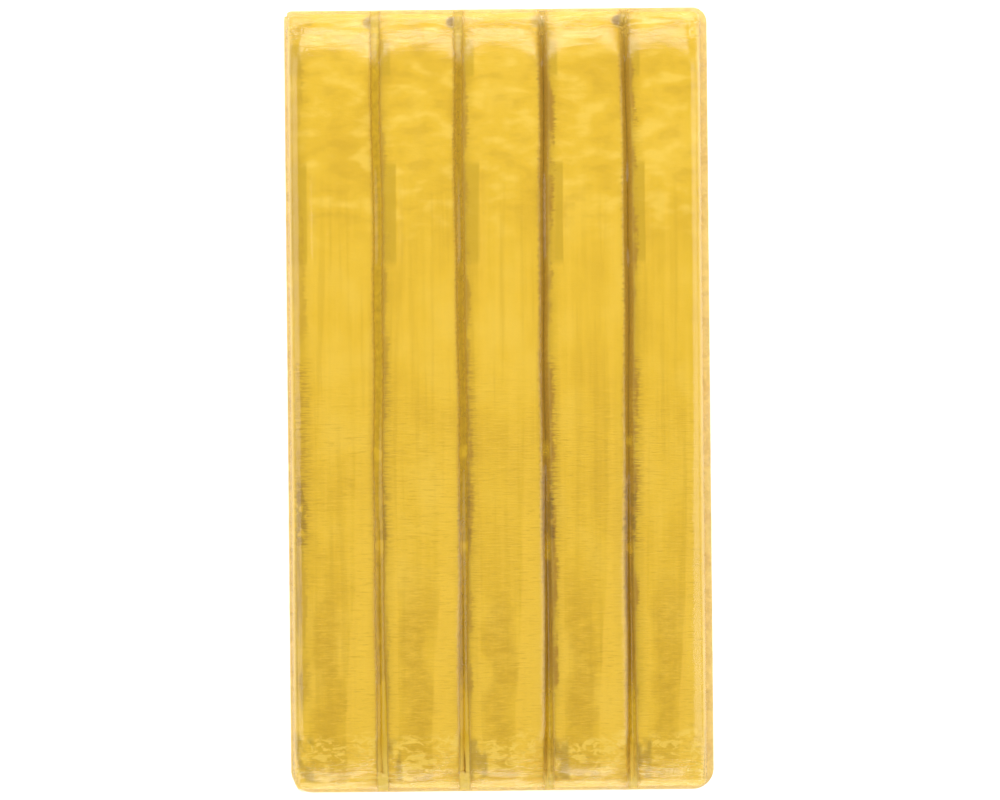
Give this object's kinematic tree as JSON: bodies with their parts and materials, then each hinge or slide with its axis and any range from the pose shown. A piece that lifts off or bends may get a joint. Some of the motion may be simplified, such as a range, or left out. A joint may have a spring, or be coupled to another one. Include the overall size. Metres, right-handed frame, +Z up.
{
  "type": "wrapped modelling clay bar",
  "caption": "Flat bar of yellow clay sticks lying side by side in a clear, tight, edge-sealed film wrapper that peels open along one side.",
  "frame": {"origin": "centre of the underside, on the surface that the bar lies on", "axes": "+X across the sticks from the film fold to the side seal, +Y along the sticks towards the top end, +Z up out of the front face"},
  "size_m": [0.076, 0.1404, 0.025],
  "materials": {
    "clay": "satin",
    "film": "gloss"
  },
  "bodies": {
    "wrapper_back": {"back_film": "film", "film_fold": "film", "side_seal": "film", "top_end_seal": "film", "bottom_end_seal": "film"},
    "wrapper_front": {"front_film": "film"},
    "stick_1": {"clay_stick_1": "clay"},
    "stick_2": {"clay_stick_2": "clay"},
    "stick_3": {"clay_stick_3": "clay"},
    "stick_4": {"clay_stick_4": "clay"},
    "stick_5": {"clay_stick_5": "clay"}
  },
  "joints": [
    {"name": "front_film_peel", "type": "hinge", "parent": "wrapper_back", "child": "wrapper_front", "pos_m": [-0.03775, 0, 0.0125], "axis": [0, -1, 0], "range_deg": [0, 170]},
    {"name": "stick_1_lift", "type": "slide", "parent": "wrapper_back", "child": "stick_1", "axis": [0, 0, 1], "range_m": [0, 0.0126]},
    {"name": "stick_2_lift", "type": "slide", "parent": "wrapper_back", "child": "stick_2", "axis": [0, 0, 1], "range_m": [0, 0.0165]},
    {"name": "stick_3_lift", "type": "slide", "parent": "wrapper_back", "child": "stick_3", "axis": [0, 0, 1], "range_m": [0, 0.0203]},
    {"name": "stick_4_lift", "type": "slide", "parent": "wrapper_back", "child": "stick_4", "axis": [0, 0, 1], "range_m": [0, 0.024]},
    {"name": "stick_5_lift", "type": "slide", "parent": "wrapper_back", "child": "stick_5", "axis": [0, 0, 1], "range_m": [0, 0.0278]}
  ],
  "couplings": [
    {"joint": "front_film_peel", "follows": "stick_1_lift", "rad_per_m": 235},
    {"joint": "stick_2_lift", "follows": "stick_1_lift", "ratio": 1.3},
    {"joint": "stick_3_lift", "follows": "stick_1_lift", "ratio": 1.6},
    {"joint": "stick_4_lift", "follows": "stick_1_lift", "ratio": 1.9},
    {"joint": "stick_5_lift", "follows": "stick_1_lift", "ratio": 2.2}
  ]
}
